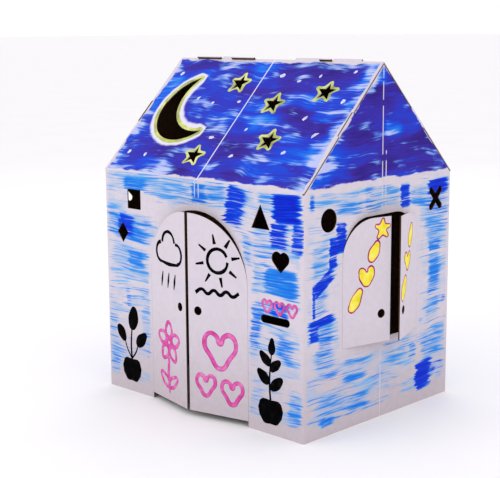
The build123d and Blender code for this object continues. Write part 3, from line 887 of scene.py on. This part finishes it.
def heart(centre, size):
    shape = ((0, -0.55), (0.32, -0.22), (0.52, 0.12), (0.36, 0.42), (0.12, 0.36), (0, 0.16),
             (-0.12, 0.36), (-0.36, 0.42), (-0.52, 0.12), (-0.32, -0.22))
    return [(centre[0] + size * across, centre[1] + size * up) for across, up in shape]


ink_black = coat("ink_black", INK_TINTS, 0.6, 45, 0.01)
bright_pink = coat("bright_pink", PINK_TINTS, 0.5, 40)

puffs = (((66, 466), 30, 262, 96), ((106, 494), 36, 176, 10), ((150, 468), 30, 98, -76))
cloud = []
for centre, radius, start, end in puffs:
    puff = arc(centre, radius, radians(start), radians(end), 5)
    cloud.append(brush_line(pressed(puff), INK_WIDTH, ink_black))
cloud.append(brush_line([(58, 438, 0.8), (106, 434, 1.1), (160, 438, 0.7)], INK_WIDTH, ink_black))
for across in (72, 108, 144):
    drop = [(across, 408, 0.5), (across - 5, 384, 1.1), (across - 9, 362, 0.4)]
    cloud.append(brush_line(drop, INK_WIDTH, ink_black))
put_on("left_door_cloud", cloud, on_flap("left_door"), "left_door")

flower = [brush_line(pressed(arc(FLOWER, 11, 0, 1.7 * pi, 7)), 12, bright_pink, closed=True)]
for number in range(5):
    turn = 0.32 + number * 2 * pi / 5
    foot = turned(FLOWER, 16, 0, turn)
    flower.append(brush_line(pressed(leaf(foot, 46, 34, turn)), 12, bright_pink, closed=True))
flower.append(brush_line([(99, 150, 1.0), (95, 100, 1.1), (100, 40, 0.7)], 13, bright_pink))
for turn in (0.6, 2.5):
    flower.append(brush_line(pressed(leaf((98, 62), 58, 26, turn)), 11, bright_pink, closed=True))
put_on("left_door_flower", flower, on_flap("left_door"), "left_door")

sun = [brush_line(pressed(arc(SUN, 34, 0.4, 0.4 + 1.86 * pi, 13)), INK_WIDTH, ink_black)]
for number in range(8):
    turn = 0.2 + number * pi / 4
    ray = [turned(SUN, reach, 0, turn) + (press,) for reach, press in ((48, 1.1), (76, 0.5))]
    sun.append(brush_line(ray, INK_WIDTH, ink_black))
wave = [(-176 + 21 * step, 372 + 12 * (step % 2), 1.0) for step in range(8)]
sun.append(brush_line(wave, INK_WIDTH, ink_black))
put_on("right_door_sun", sun, on_flap("right_door"), "right_door")

hearts = []
for centre, size, width in (((-94, 214), 104, 15), ((-144, 104), 62, 12), ((-54, 94), 68, 13)):
    hearts.append(brush_line(pressed(heart(centre, size)), width, bright_pink, closed=True))
put_on("right_door_hearts", hearts, on_flap("right_door"), "right_door")


# Drawings on the front wall. Three pink hearts are brushed on above the mail slot, and a black
# plant in a pot on each side of the doors, in a few solid strokes of poster paint.
ON_FRONT = (0, -HALF_DEPTH, 0), (pi / 2, 0, 0)
LEFT_POT = (-338, 98), (-327, 36), (-302, 32), (-278, 35), (-266, 98), (-302, 102)
RIGHT_POT = (250, 94), (261, 34), (288, 30), (317, 33), (328, 93), (288, 98)
# Each leaf: its foot and length in millimetres, and its turn
LEFT_LEAVES = ((-299, 196), 78, 1.4), ((-330, 156), 62, 2.2), ((-276, 150), 62, 0.8)
RIGHT_LEAVES = (
    ((286, 128), 62, 0.7), ((284, 146), 60, 2.5), ((287, 180), 56, 0.8),
    ((288, 196), 54, 2.4), ((291, 228), 48, 1.5),
)


def filled(name, points, seed):
    """A shape in millimetres brushed in solid black, its edge a little unsteady."""
    loop = wobble([(across / 1000, up / 1000) for across, up in points], 0.004, seed)
    return film_between(name, ((loop, "AUTO"),), ink_black)


small_hearts = []
for across in (276, 322, 368):
    small_heart = pressed(heart((across, 366), 34))
    small_hearts.append(brush_line(small_heart, 8, bright_pink, closed=True))
put_on("mail_slot_hearts", small_hearts, ON_FRONT, "house")

left_plant = [brush_line([(-302, 96, 1.2), (-304, 150, 1.0), (-298, 214, 0.7)], 7, ink_black),
              brush_line([(-302, 104, 1.0), (-326, 140, 0.9), (-334, 168, 0.6)], 6, ink_black),
              brush_line([(-302, 104, 1.0), (-280, 132, 0.9), (-272, 158, 0.6)], 6, ink_black),
              filled("left_pot", LEFT_POT, 40)]
for number, (foot, length, turn) in enumerate(LEFT_LEAVES):
    outline = leaf(foot, length, 0.55 * length, turn)
    left_plant.append(filled("left_plant_leaf", outline, 41 + number))
put_on("left_plant", left_plant, ON_FRONT, "house")

right_plant = [brush_line([(288, 92, 1.2), (284, 150, 1.0), (292, 238, 0.6)], 7, ink_black),
               filled("right_pot", RIGHT_POT, 50)]
for number, (foot, length, turn) in enumerate(RIGHT_LEAVES):
    outline = leaf(foot, length, 0.5 * length, turn)
    right_plant.append(filled("right_plant_leaf", outline, 51 + number))
put_on("right_plant", right_plant, ON_FRONT, "house")


# Drawings on the right-hand shutters. Yellow leaves and a heart climb each shutter, with a star at
# the top of the front one. They are filled in with poster paint and then gone round with a thin
# magenta brush.
SUN_TINTS = colour(226, 206, 40), colour(238, 226, 66), colour(246, 236, 120)
MAGENTA_TINTS = colour(140, 20, 86), colour(172, 36, 108), colour(196, 74, 138)
THIN_WIDTH, STRAY = 5, 0.006
sun_yellow = coat("sun_yellow", SUN_TINTS, 0.5, 40)
deep_magenta = coat("deep_magenta", MAGENTA_TINTS, 0.5, 40)


def gone_round(points, seed):
    """A yellow shape with a magenta line round it that strays from its edge."""
    loop = [(across / 1000, up / 1000) for across, up in points]
    line = [(1000 * across, 1000 * up, 1.0) for across, up in wobble(loop, STRAY, seed)]
    fill = film_between("yellow_shape", ((loop, "AUTO"),), sun_yellow)
    return [fill, brush_line(line, THIN_WIDTH, deep_magenta, closed=True)]


climb = gone_round(leaf((26, 338), 70, 34, 1.0), 60) + gone_round(heart((84, 432), 56), 61)
climb += gone_round(leaf((98, 472), 58, 32, 1.1), 62) + gone_round(star((140, 560), 30, 0.5), 63)
put_on("front_shutter_shapes", climb, on_flap("right_front_shutter"), "right_front_shutter")
climb = gone_round(leaf((-146, 345), 76, 36, 1.2), 64) + gone_round(heart((-104, 456), 54), 65)
climb += gone_round(leaf((-90, 494), 70, 34, 1.2), 66)
put_on("rear_shutter_shapes", climb, on_flap("right_rear_shutter"), "right_rear_shutter")


# Floor and light, as for a product on white. The floor is pale, matt and plain and runs on to the
# horizon, the room is bright and even, and three large soft lamps give the house its shading.
FLOOR_SIZE = 200
FLOOR_LIGHT, FLOOR_DARK = colour(250, 249, 250), colour(245, 244, 245)
ROOM_LIGHT = 1.03
LAMP_SIZE = 3.0
LAMP_AIM = Vector((0, 0, 0.5))
bpy.ops.mesh.primitive_plane_add(size=FLOOR_SIZE)
floor = bpy.context.object
floor.name = "floor"
floor_paint, floor_shader, floor_place = new_material("pale_floor")
floor_tone = grain(floor_paint, floor_place, (2, 2, 2))
floor_shade = blend_colours(floor_paint, floor_tone, FLOOR_DARK, FLOOR_LIGHT)
floor_roughness = ease(floor_paint, floor_tone, 0.2, 0.8, 0.7, 0.8)
dress(floor_paint, floor_shader, floor_shade, floor_roughness, floor_tone, 0.0001)
floor.data.materials.append(floor_paint)

world = bpy.data.worlds.new("bright_room")
bpy.context.scene.world = world
world.use_nodes = True
room = world.node_tree.nodes["Background"]
room.inputs["Color"].default_value = (1.0, 0.99, 1.0, 1.0)
room.inputs["Strength"].default_value = ROOM_LIGHT
for name, place, watts in (
    ("front_lamp", (-1.6, -4.2, 3.0), 36),
    ("side_lamp", (4.4, -0.6, 2.8), 16),
    ("rear_lamp", (-2.5, 3.5, 3.4), 18),
):
    bpy.ops.object.light_add(type="AREA", location=place)
    lamp = bpy.context.object
    lamp.name = name
    lamp.rotation_euler = (LAMP_AIM - Vector(place)).to_track_quat("-Z", "Y").to_euler()
    lamp.data.size = LAMP_SIZE
    lamp.data.energy = watts
bpy.context.scene.view_settings.view_transform = "Standard"


# Camera, at the height of the roof and off the near corner, so that front and right wall both show.
# Its place, turn and lens are fitted to the corners of the house in the photograph.
CAMERA_PLACE = (2.46005, -2.63609, 1.12301)
CAMERA_TURN = radians(79.789), radians(0.379), radians(44.208)
SENSOR_WIDTH, LENS = 36.0, 85.85
bpy.ops.object.camera_add(location=CAMERA_PLACE, rotation=CAMERA_TURN)
camera = bpy.context.object
camera.data.sensor_fit = "HORIZONTAL"
camera.data.sensor_width = SENSOR_WIDTH
camera.data.lens = LENS
bpy.context.scene.camera = camera
